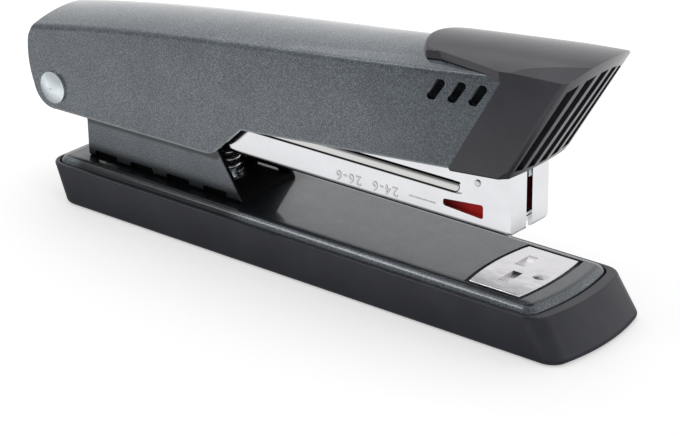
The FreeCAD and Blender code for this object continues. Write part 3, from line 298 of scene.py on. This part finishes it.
def plate_painted_shade(look, colour, roughness):
    """Painted shade: the flat top is darker than the rounded rim, and darker still, under a weaker coat,
    beside the bracket.
    """
    x, _, z = look.place()
    # painted shade: the flat top darker than the rounded rim
    flat = look.fade(z, PLATE_TOP - 0.37, PLATE_TOP - 0.02)
    darker = look.over(flat, colour, (0.002, 0.004, 0.012), strength=0.74)
    # painted shade and painted dark reflection of the bracket: darker beside it, under a weaker coat
    beside = look.times(look.fade(x, BRACKET_REAR + 13.0, BRACKET_REAR + 17.0),
                        look.rest(look.fade(x, BRACKET_FRONT - 2.0, BRACKET_FRONT + 6.0)))
    beside_shaded = look.over(beside, darker, (0.004, 0.005, 0.006), strength=0.88)
    coat = look.rest(look.times(beside, 0.4))
    return beside_shaded, roughness, coat


# ---------------------------------------------------------------- plastic
def moulded_plastic(name, colour, roughness, texture, shine=0.5, painted_light=None):
    """Plastic with a fine eroded skin. A piece's painted shade gives back the colour."""
    finish, look, shader = new_finish(name)
    fine = look.grain(0.5 * MM, detail=3.0)
    tone = look.tint(look.grain(9 * MM, detail=4.0), [(0.35, colour), (0.7, toned(colour, 1.35))])
    look.fill(shader, {"Base Color": painted_light(look, tone) if painted_light else tone,
                       "Roughness": look.vary(fine, roughness * 0.9, roughness * 1.1),
                       "Specular IOR Level": shine})
    look.dent(shader, fine, texture, 0.4)
    return finish


def pusher_painted_shade(look, colour):
    """Painted shade: the red is darker at the tail and on the front face."""
    x = look.place()[X]
    tail = look.rest(look.fade(x, PUSHER_REAR + 1.0, PUSHER_REAR + 8.0))
    face = look.fade(x, PUSHER_FRONT - 0.5, PUSHER_FRONT - 0.2)
    # painted shade: the red darkens towards the tail
    deep = look.over(tail, colour, (0.06, 0.002, 0.003), strength=0.8)
    # painted shade: the red darkens on the front face, seen through the slit
    return look.over(face, deep, (0.05, 0.002, 0.006), strength=0.9)


# ---------------------------------------------------------------- plated steel
def plated_steel(name, colour, roughness, brushed=None, painted_light=None):
    """Bright plating, slightly clouded, brushed along one way where asked. A piece's painted shade gives
    back the colour."""
    finish, look, shader = new_finish(name)
    plating = look.tint(look.grain(5 * MM, detail=4.0), [(0.3, toned(colour, 0.95)), (0.7, colour)])
    streaks = look.grain(1.5 * MM, detail=3.0, stretch=brushed)
    look.fill(shader, {"Base Color": painted_light(look, plating) if painted_light else plating,
                       "Roughness": look.vary(streaks, roughness * 0.7, roughness * 1.3),
                       "Metallic": 1.0})
    look.dent(shader, look.grain(0.8 * MM, stretch=brushed), 0.006 * MM, 0.4)
    return finish


def beyond_slot(look, x, rise):
    """How far a place lies outside the magazine's sunk slot, and below 0 inside it. rise is its height
    above the slot's middle."""
    front = MAGAZINE_FRONT - SLOT_SHORT
    ahead = look.minus(x, look.most(look.least(x, front), HINGE_X + SLOT_FROM))
    away = look.work("SQRT", look.plus(look.times(ahead, ahead), look.times(rise, rise)))
    return look.minus(away, SLOT_RADIUS)


def magazine_painted_shade(look, colour):
    """Painted shade: darker inside the sunk slot, dark under the slit in it and along its rim, and along the
    fold behind the front flange.
    """
    x, _, z = look.place()
    rise = look.minus(z, HINGE_Z + SLOT_UP)
    beyond = beyond_slot(look, x, rise)
    inside = look.rest(look.fade(beyond, -0.05, 0.0))
    rim = look.rest(look.fade(look.work("ABSOLUTE", look.plus(beyond, 0.08)), 0.06, 0.22))
    under = look.times(inside, look.fade(rise, -0.2, 0.55))
    fold = look.rest(look.fade(z, MAGAZINE_FOOT + 0.15, MAGAZINE_FOOT + 0.55))
    behind_flange = look.rest(look.fade(x, MAGAZINE_FRONT - 4.2, MAGAZINE_FRONT - 3.6))
    # painted shade: the band inside the sunk slot is darker
    sunk = look.over(inside, colour, (0.66, 0.66, 0.65))
    # painted shadow: darker under the slit, in the upper half of the band
    shaded = look.over(under, sunk, (0.05, 0.05, 0.05), strength=0.9)
    # painted shade: a dark line along the slot's rim
    rim_shaded = look.over(rim, shaded, (0.03, 0.03, 0.03), strength=0.85)
    # painted dark reflection: a dark line along the fold at the foot, behind the front flange
    return look.over(look.times(fold, behind_flange), rim_shaded, (0.05, 0.05, 0.05), strength=0.85)


# ---------------------------------------------------------------- the finish of each CAD node
SLOT_FINISHES = {
    "grey_paint": metallic_paint("metallic_paint"),
    "tray_plastic": moulded_plastic("tray_plastic", (0.0262, 0.0274, 0.0375), 0.34, 0.015 * MM, shine=0.4),
    "cap_plastic": moulded_plastic("cap_plastic", (0.030, 0.0305, 0.040), 0.19, 0.003 * MM),
    "red_plastic": moulded_plastic("red_plastic", (0.50, 0.010, 0.008), 0.5, 0.01 * MM, shine=0.15,
                                   painted_light=pusher_painted_shade),
    "chrome": plated_steel("bright_chrome", (0.87, 0.87, 0.89), 0.13, brushed=(0.05, 1, 1)),
    "zinc": plated_steel("bright_zinc", (0.88, 0.96, 1.0), 0.30),
    "spring_steel": plated_steel("spring_steel", (0.62, 0.62, 0.64), 0.20),
}
OWN_FINISHES = {
    "base_plate": metallic_paint("plate_paint", 0.78, painted_light=plate_painted_shade),
    "frame_bracket": metallic_paint("bracket_paint", 0.95, painted_light=bracket_painted_shade),
    "handle_cover": metallic_paint("handle_paint", painted_light=handle_painted_light),
    "anvil_plate": plated_steel("worn_steel", (0.78, 0.765, 0.785), 0.30, brushed=(0.4, 1, 1)),
    "anvil_rivet": plated_steel("rivet_steel", (0.74, 0.73, 0.74), 0.30),
    "magazine_channel": plated_steel("magazine_chrome", (0.81, 0.815, 0.84), 0.11, brushed=(0.05, 1, 1),
                                     painted_light=magazine_painted_shade),
}
# painted shade: a darker chrome for the sizes and the nubs, standing in for the shade of their low relief
SHADED_CHROME = plated_steel("shaded_chrome", (0.66, 0.66, 0.67), 0.14)


def finish_frame():
    """Each node takes its own finish, or else the one of its slot."""
    slots = {part["node"]: part["material_slot"] for part in frame["record"]["subparts"]}
    for node, piece in frame["nodes"].items():
        piece.data.materials.clear()
        piece.data.materials.append(OWN_FINISHES.get(node) or SLOT_FINISHES[slots[node]])


# ---------------------------------------------------------------- small pieces
def settle(piece, finish, body):
    """Leaves a finished piece at the origin with its place in its mesh, riding on its body."""
    bpy.ops.object.transform_apply(location=True, rotation=True, scale=True)
    piece.data.materials.clear()
    piece.data.materials.append(finish)
    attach(piece, body)
    bpy.ops.object.select_all(action="DESELECT")


def staple_sizes():
    """The sizes of staple that fit, upside down in low relief on the magazine's near wall."""
    near_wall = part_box("magazine_channel")[0][Y]
    place = ((MAGAZINE_FRONT - 34.4) * MM, near_wall - 0.02 * MM, (HINGE_Z - 2.35) * MM)
    bpy.ops.object.text_add(location=place, rotation=(math.radians(90), math.radians(180), 0))
    sizes = bpy.context.object
    sizes.name = "staple_sizes"
    sizes.data.body = "\u2014\u2014  24-6  26-6"
    sizes.data.align_x = "CENTER"
    sizes.data.align_y = "CENTER"
    sizes.data.size = 3.4 * MM
    sizes.data.space_character = 1.25
    sizes.data.extrude = 0.06 * MM
    sizes.data.bevel_depth = 0.05 * MM
    bpy.ops.object.convert(target="MESH")
    settle(sizes, SHADED_CHROME, "magazine")


def rail_nubs():
    """A round nub that locates the rail, on each wall of the magazine."""
    near_corner, far_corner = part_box("magazine_channel")
    for name, wall, side in (("rail_nub_near", near_corner[Y], -1), ("rail_nub_far", far_corner[Y], 1)):
        place = ((MAGAZINE_FRONT - 8.4) * MM, wall + side * 0.1 * MM, (HINGE_Z + 5.7) * MM)
        bpy.ops.mesh.primitive_cylinder_add(vertices=40, radius=0.8 * MM, depth=0.4 * MM, location=place,
                                            rotation=(math.radians(-90 * side), 0, 0))
        nub = bpy.context.object
        nub.name = name
        bevel = nub.modifiers.new("round", "BEVEL")
        bevel.width = 0.18 * MM
        bevel.segments = 4
        bpy.ops.object.modifier_apply(modifier="round")
        bpy.ops.object.shade_smooth_by_angle(angle=math.radians(40))
        settle(nub, SHADED_CHROME, "magazine")


def wound_wire(name, wire, mean, pitch, turns):
    """A round wire with closed ends, wound upwards about the Z axis. wire and mean are radii, in metres."""
    bpy.ops.mesh.primitive_circle_add(vertices=12, radius=wire, location=(mean, 0, 0),
                                      rotation=(math.radians(90), 0, 0))
    bpy.ops.object.transform_apply(location=True, rotation=True, scale=True)
    spring = bpy.context.object
    spring.name = name
    winding = spring.modifiers.new("winding", "SCREW")
    winding.axis = "Z"
    winding.screw_offset = pitch
    winding.iterations = turns
    winding.steps = winding.render_steps = 28
    bpy.ops.object.modifier_apply(modifier="winding")
    bpy.ops.object.mode_set(mode="EDIT")
    bpy.ops.mesh.select_all(action="SELECT")
    bpy.ops.mesh.remove_doubles(threshold=0.001 * MM)
    bpy.ops.mesh.fill_holes(sides=0)
    bpy.ops.mesh.select_all(action="SELECT")
    bpy.ops.mesh.normals_make_consistent(inside=False)
    bpy.ops.object.mode_set(mode="OBJECT")
    bpy.ops.object.shade_smooth_by_angle(angle=math.radians(50))
    return spring


def coil_spring(name, node, wire, turns, along_x=False):
    """A wound wire in the space that the plain spring holds, upright or along the magazine."""
    low, high = (Vector(corner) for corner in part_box(node))
    centre = (low + high) / 2
    length = high.x - low.x if along_x else high.z - low.z
    across = high.z - low.z if along_x else high.x - low.x
    spring = wound_wire(name, wire, across / 2 - wire, (length - 2 * wire) / turns, turns)
    if along_x:
        spring.rotation_euler = (0, math.radians(90), 0)
        spring.location = (low.x + wire, centre.y, centre.z)
    else:
        spring.location = (centre.x, centre.y, low.z + wire)
    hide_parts(node)
    return spring


def springs():
    """The wound lift spring, riding with the base, and the long wound one, riding with the magazine."""
    lift = coil_spring("lift_coil", "lift_spring", wire=0.5 * MM, turns=4)
    settle(lift, SLOT_FINISHES["spring_steel"], "base")
    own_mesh(lift)
    push = coil_spring("push_coil", "pusher_spring", wire=0.25 * MM, turns=22, along_x=True)
    settle(push, SLOT_FINISHES["spring_steel"], "magazine")
    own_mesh(push)


# ---------------------------------------------------------------- floor, light and camera
def floor_paper():
    """White for the eye. In the stapler's reflections the paper glows with painted light and shade: a
    painted shadow close beside it, bright ahead of its nose, and a dimmer painted falloff further out on the
    near side."""
    finish, look, shader = new_finish("floor_paper")
    look.nodes.remove(shader)
    path = look.add("LightPath")
    matte = look.add("BsdfDiffuse", {"Color": (0.80, 0.80, 0.80)})
    glow = look.add("Emission", {"Color": (0.44, 0.44, 0.44), "Strength": path.outputs["Is Camera Ray"]})
    lit = look.add("AddShader", {0: matte.outputs[0], 1: glow.outputs[0]})
    place = look.add("SeparateXYZ", {0: look.add("NewGeometry").outputs["Position"]})
    # painted shadow and light, seen only in reflections: dim beside the stapler, bright ahead of its nose,
    # dimmer further out on the near side
    near_side = look.fade(place.outputs[Y], -0.145, -0.085, before=0.48)
    beside = look.fade(look.work("ABSOLUTE", place.outputs[Y]), 0.018, 0.058, before=0.25)
    ahead = look.fade(place.outputs[X], 0.072, 0.095)
    mirrored = look.add("Emission", {"Strength": look.times(near_side, look.most(beside, ahead))})
    pick = look.add("MixShader", {0: path.outputs["Is Glossy Ray"], 1: lit.outputs[0],
                                  2: mirrored.outputs[0]})
    look.fill(look.nodes["Material Output"], {"Surface": pick.outputs[0]})
    return finish


def floor():
    bpy.ops.mesh.primitive_plane_add(size=6.0, location=(0, 0, 0))
    ground = bpy.context.object
    ground.name = "floor"
    ground.data.materials.append(floor_paper())


def soft_lamp(name, place, size, power):
    """A flat lamp that faces the middle of the floor."""
    bpy.ops.object.light_add(type="AREA", location=place)
    lamp = bpy.context.object
    lamp.name = name
    lamp.data.shape = "RECTANGLE"
    lamp.data.size, lamp.data.size_y = size
    lamp.data.energy = power
    lamp.rotation_euler = (-Vector(place)).to_track_quat("-Z", "Y").to_euler()


def room():
    """White to the eye. In light and reflections the wall behind is bright, and the room is dimmer in
    front and overhead."""
    world = bpy.data.worlds.new("room")
    bpy.context.scene.world = world
    world.use_nodes = True
    look = Look(world.node_tree)
    way = look.add("SeparateXYZ", {0: look.add("TexCoord").outputs["Generated"]})
    wall = look.fade(way.outputs[Y], -0.4, 0.6, before=0.50)
    overhead = look.spread(way.outputs[Z], 0.35, 0.85, 1.0, 0.68)
    to_eye = look.add("LightPath").outputs["Is Camera Ray"]
    level = look.add("Mix", {"Factor": to_eye, "A": look.times(wall, overhead), "B": 1.0}, data_type="FLOAT")
    look.fill(look.nodes["Background"], {"Color": (1, 1, 1), "Strength": level.outputs["Result"]})


def camera():
    """Looks down on the stapler from its near side and nose, through a long lens, slightly rolled."""
    azimuth, elevation, roll = (math.radians(a) for a in (39.52, 23.81, -0.8))
    aim = Vector((2.2, 0, 10.01)) * MM
    distance = 570.9 * MM
    back = Vector((math.sin(azimuth) * math.cos(elevation), -math.cos(azimuth) * math.cos(elevation),
                   math.sin(elevation)))
    right = (-back).cross(Vector((0, 0, 1))).normalized()
    up = right.cross(-back)
    across = right * math.cos(roll) + up * math.sin(roll)
    upward = up * math.cos(roll) - right * math.sin(roll)
    bpy.ops.object.camera_add(location=aim + back * distance)
    eye = bpy.context.object
    eye.rotation_euler = Matrix((across, upward, back)).transposed().to_euler()
    eye.data.lens = 127.985
    eye.data.sensor_width = 36.0
    bpy.context.scene.camera = eye


finish_frame()
springs()
staple_sizes()
rail_nubs()
floor()
soft_lamp("window", (-0.60, 0.20, 0.90), (0.9, 0.6), 1.0)
soft_lamp("overhead", (0.10, 0.20, 1.00), (1.1, 0.6), 1.3)
soft_lamp("ceiling", (-0.52, -0.40, 0.72), (0.30, 0.22), 1.0)
room()
camera()
bpy.context.scene.view_settings.view_transform = "Standard"
